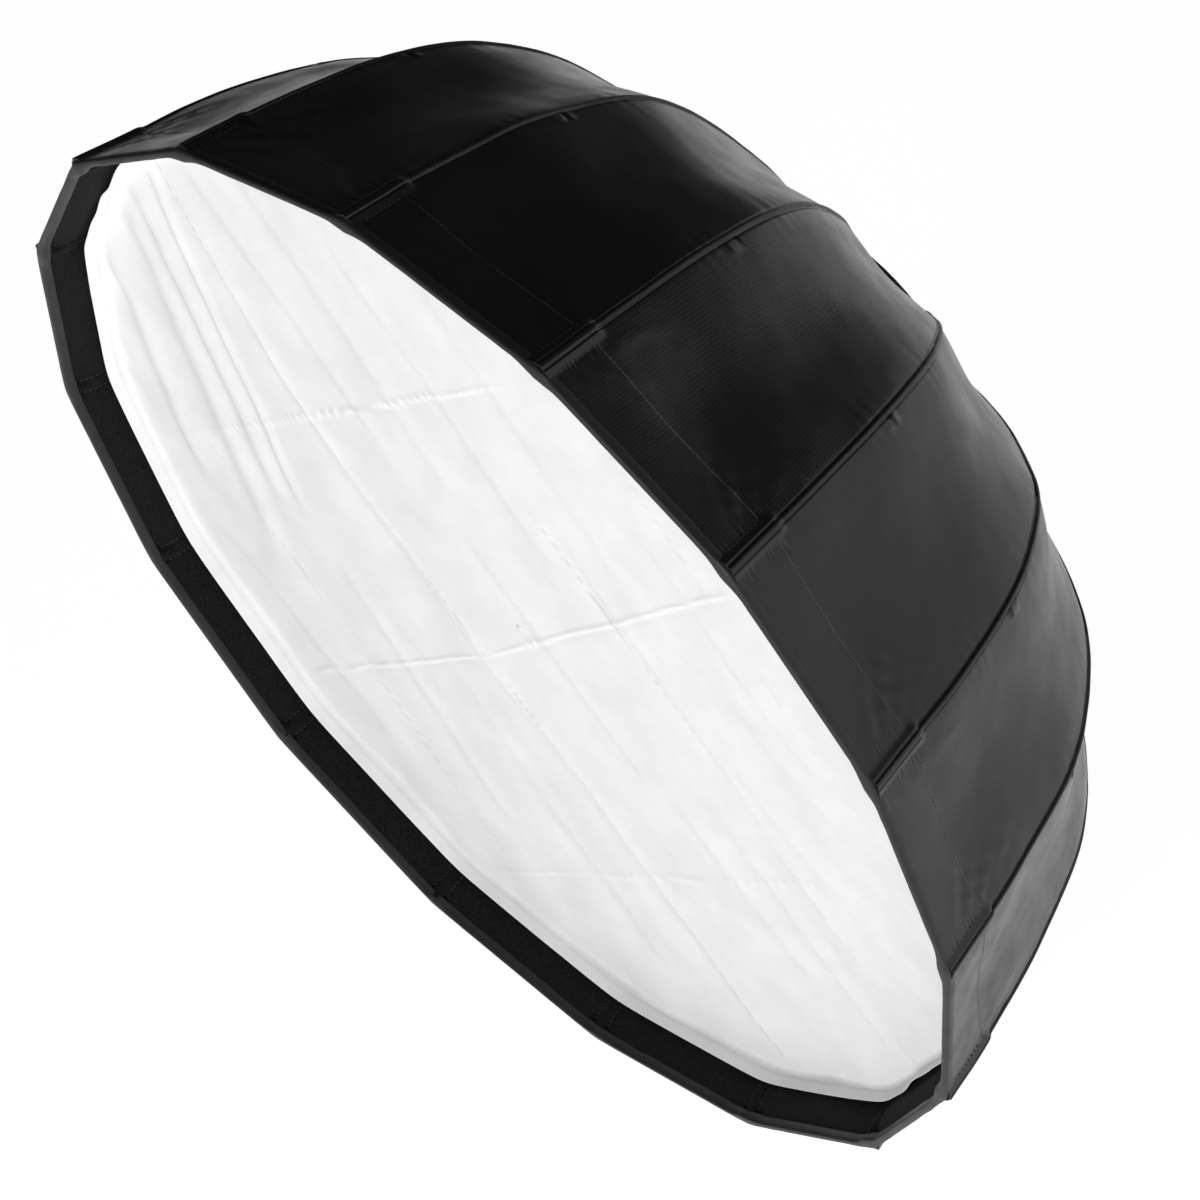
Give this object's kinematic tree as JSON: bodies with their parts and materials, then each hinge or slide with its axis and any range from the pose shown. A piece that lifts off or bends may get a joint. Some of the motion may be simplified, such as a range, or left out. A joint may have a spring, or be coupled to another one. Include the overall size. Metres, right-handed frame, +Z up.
{
  "type": "studio softbox",
  "caption": "Deep round folding softbox with ribbed black shell, white recessed diffuser and rear bayonet speedring.",
  "frame": {"origin": "centre of the bayonet insert's seating face, on the light's axis", "axes": "+Y along the light's axis towards the lamp head, so the open front faces -Y; +Z is up, between two rods"},
  "size_m": [0.8828, 0.404, 0.8828],
  "materials": {
    "shell_cloth": "black coated ripstop, satin outside",
    "loop_cloth": "matte black brushed loop",
    "diffuser_cloth": "matte white",
    "cuff_cloth": "matte black stretch cloth",
    "glass_fibre": "satin pultruded rod",
    "black_nylon": "fine moulded texture",
    "black_alloy": "black anodised",
    "bright_steel": "zinc plated, satin",
    "red_nylon": "smooth moulded"
  },
  "bodies": {
    "mount": {"bayonet_insert": "bright_steel"},
    "speedring": {"speedring_housing": "black_nylon", "rear_cover_ring": "black_alloy", "hinge_wire": "bright_steel", "rear_cuff": "cuff_cloth", "front_lip": "loop_cloth", "front_diffuser": "diffuser_cloth", "inner_baffle": "diffuser_cloth"},
    "runner": {"runner": "black_nylon"},
    "button_left": {"release_button_left": "red_nylon"},
    "button_right": {"release_button_right": "red_nylon"},
    "lock_knob": {"rotation_lock_knob": "black_nylon"},
    "rod_01": {"rod_bracket_01": "black_nylon", "rod_01": "glass_fibre", "shell_panel_01": "shell_cloth"},
    "rod_02": {"rod_bracket_02": "black_nylon", "rod_02": "glass_fibre", "shell_panel_02": "shell_cloth"},
    "rod_03": {"rod_bracket_03": "black_nylon", "rod_03": "glass_fibre", "shell_panel_03": "shell_cloth"},
    "rod_04": {"rod_bracket_04": "black_nylon", "rod_04": "glass_fibre", "shell_panel_04": "shell_cloth"},
    "rod_05": {"rod_bracket_05": "black_nylon", "rod_05": "glass_fibre", "shell_panel_05": "shell_cloth"},
    "rod_06": {"rod_bracket_06": "black_nylon", "rod_06": "glass_fibre", "shell_panel_06": "shell_cloth"},
    "rod_07": {"rod_bracket_07": "black_nylon", "rod_07": "glass_fibre", "shell_panel_07": "shell_cloth"},
    "rod_08": {"rod_bracket_08": "black_nylon", "rod_08": "glass_fibre", "shell_panel_08": "shell_cloth"},
    "rod_09": {"rod_bracket_09": "black_nylon", "rod_09": "glass_fibre", "shell_panel_09": "shell_cloth"},
    "rod_10": {"rod_bracket_10": "black_nylon", "rod_10": "glass_fibre", "shell_panel_10": "shell_cloth"},
    "rod_11": {"rod_bracket_11": "black_nylon", "rod_11": "glass_fibre", "shell_panel_11": "shell_cloth"},
    "rod_12": {"rod_bracket_12": "black_nylon", "rod_12": "glass_fibre", "shell_panel_12": "shell_cloth"},
    "rod_13": {"rod_bracket_13": "black_nylon", "rod_13": "glass_fibre", "shell_panel_13": "shell_cloth"},
    "rod_14": {"rod_bracket_14": "black_nylon", "rod_14": "glass_fibre", "shell_panel_14": "shell_cloth"},
    "rod_15": {"rod_bracket_15": "black_nylon", "rod_15": "glass_fibre", "shell_panel_15": "shell_cloth"},
    "rod_16": {"rod_bracket_16": "black_nylon", "rod_16": "glass_fibre", "shell_panel_16": "shell_cloth"}
  },
  "joints": [
    {"name": "speedring_rotation", "type": "hinge", "parent": "mount", "child": "speedring", "pos_m": [0, 0, 0], "axis": [0, 1, 0], "continuous": true},
    {"name": "rod_01_fold", "type": "hinge", "parent": "speedring", "child": "rod_01", "pos_m": [0.01639, -0.03001, 0.08239], "axis": [0.9808, 0, -0.1951], "range_deg": [0, 48], "deforming": ["shell_panel_01", "front_lip", "front_diffuser", "inner_baffle"]},
    {"name": "rod_02_fold", "type": "hinge", "parent": "speedring", "child": "rod_02", "pos_m": [0.04667, -0.03001, 0.06984], "axis": [0.8315, 0, -0.5556], "range_deg": [0, 48], "deforming": ["shell_panel_02"]},
    {"name": "rod_03_fold", "type": "hinge", "parent": "speedring", "child": "rod_03", "pos_m": [0.06984, -0.03001, 0.04667], "axis": [0.5556, 0, -0.8315], "range_deg": [0, 48], "deforming": ["shell_panel_03"]},
    {"name": "rod_04_fold", "type": "hinge", "parent": "speedring", "child": "rod_04", "pos_m": [0.08239, -0.03001, 0.01639], "axis": [0.1951, 0, -0.9808], "range_deg": [0, 48], "deforming": ["shell_panel_04"]},
    {"name": "rod_05_fold", "type": "hinge", "parent": "speedring", "child": "rod_05", "pos_m": [0.08239, -0.03001, -0.01639], "axis": [-0.1951, 0, -0.9808], "range_deg": [0, 48], "deforming": ["shell_panel_05"]},
    {"name": "rod_06_fold", "type": "hinge", "parent": "speedring", "child": "rod_06", "pos_m": [0.06984, -0.03001, -0.04667], "axis": [-0.5556, 0, -0.8315], "range_deg": [0, 48], "deforming": ["shell_panel_06"]},
    {"name": "rod_07_fold", "type": "hinge", "parent": "speedring", "child": "rod_07", "pos_m": [0.04667, -0.03001, -0.06984], "axis": [-0.8315, 0, -0.5556], "range_deg": [0, 48], "deforming": ["shell_panel_07"]},
    {"name": "rod_08_fold", "type": "hinge", "parent": "speedring", "child": "rod_08", "pos_m": [0.01639, -0.03001, -0.08239], "axis": [-0.9808, 0, -0.1951], "range_deg": [0, 48], "deforming": ["shell_panel_08"]},
    {"name": "rod_09_fold", "type": "hinge", "parent": "speedring", "child": "rod_09", "pos_m": [-0.01639, -0.03001, -0.08239], "axis": [-0.9808, 0, 0.1951], "range_deg": [0, 48], "deforming": ["shell_panel_09"]},
    {"name": "rod_10_fold", "type": "hinge", "parent": "speedring", "child": "rod_10", "pos_m": [-0.04667, -0.03001, -0.06984], "axis": [-0.8315, 0, 0.5556], "range_deg": [0, 48], "deforming": ["shell_panel_10"]},
    {"name": "rod_11_fold", "type": "hinge", "parent": "speedring", "child": "rod_11", "pos_m": [-0.06984, -0.03001, -0.04667], "axis": [-0.5556, 0, 0.8315], "range_deg": [0, 48], "deforming": ["shell_panel_11"]},
    {"name": "rod_12_fold", "type": "hinge", "parent": "speedring", "child": "rod_12", "pos_m": [-0.08239, -0.03001, -0.01639], "axis": [-0.1951, 0, 0.9808], "range_deg": [0, 48], "deforming": ["shell_panel_12"]},
    {"name": "rod_13_fold", "type": "hinge", "parent": "speedring", "child": "rod_13", "pos_m": [-0.08239, -0.03001, 0.01639], "axis": [0.1951, 0, 0.9808], "range_deg": [0, 48], "deforming": ["shell_panel_13"]},
    {"name": "rod_14_fold", "type": "hinge", "parent": "speedring", "child": "rod_14", "pos_m": [-0.06984, -0.03001, 0.04667], "axis": [0.5556, 0, 0.8315], "range_deg": [0, 48], "deforming": ["shell_panel_14"]},
    {"name": "rod_15_fold", "type": "hinge", "parent": "speedring", "child": "rod_15", "pos_m": [-0.04667, -0.03001, 0.06984], "axis": [0.8315, 0, 0.5556], "range_deg": [0, 48], "deforming": ["shell_panel_15"]},
    {"name": "rod_16_fold", "type": "hinge", "parent": "speedring", "child": "rod_16", "pos_m": [-0.01639, -0.03001, 0.08239], "axis": [0.9808, 0, 0.1951], "range_deg": [0, 48], "deforming": ["shell_panel_16"]},
    {"name": "runner_slide", "type": "slide", "parent": "speedring", "child": "runner", "axis": [0, 1, 0], "range_m": [0, 0.0163]},
    {"name": "release_button_left_press", "type": "slide", "parent": "speedring", "child": "button_left", "axis": [1, 0, 0], "range_m": [0, 0.004], "stiffness_N_per_m": 500, "springref_m": -0.002},
    {"name": "release_button_right_press", "type": "slide", "parent": "speedring", "child": "button_right", "axis": [-1, 0, 0], "range_m": [0, 0.004], "stiffness_N_per_m": 500, "springref_m": -0.002},
    {"name": "rotation_lock_turn", "type": "hinge", "parent": "speedring", "child": "lock_knob", "pos_m": [0, -0.0075, -0.094], "axis": [0, 0, -1], "range_deg": [0, 270]}
  ],
  "couplings": [
    {"joint": "rod_02_fold", "follows": "rod_01_fold", "ratio": 1},
    {"joint": "rod_03_fold", "follows": "rod_01_fold", "ratio": 1},
    {"joint": "rod_04_fold", "follows": "rod_01_fold", "ratio": 1},
    {"joint": "rod_05_fold", "follows": "rod_01_fold", "ratio": 1},
    {"joint": "rod_06_fold", "follows": "rod_01_fold", "ratio": 1},
    {"joint": "rod_07_fold", "follows": "rod_01_fold", "ratio": 1},
    {"joint": "rod_08_fold", "follows": "rod_01_fold", "ratio": 1},
    {"joint": "rod_09_fold", "follows": "rod_01_fold", "ratio": 1},
    {"joint": "rod_10_fold", "follows": "rod_01_fold", "ratio": 1},
    {"joint": "rod_11_fold", "follows": "rod_01_fold", "ratio": 1},
    {"joint": "rod_12_fold", "follows": "rod_01_fold", "ratio": 1},
    {"joint": "rod_13_fold", "follows": "rod_01_fold", "ratio": 1},
    {"joint": "rod_14_fold", "follows": "rod_01_fold", "ratio": 1},
    {"joint": "rod_15_fold", "follows": "rod_01_fold", "ratio": 1},
    {"joint": "rod_16_fold", "follows": "rod_01_fold", "ratio": 1},
    {"joint": "runner_slide", "follows": "rod_01_fold", "m_per_rad": 0.019417}
  ]
}
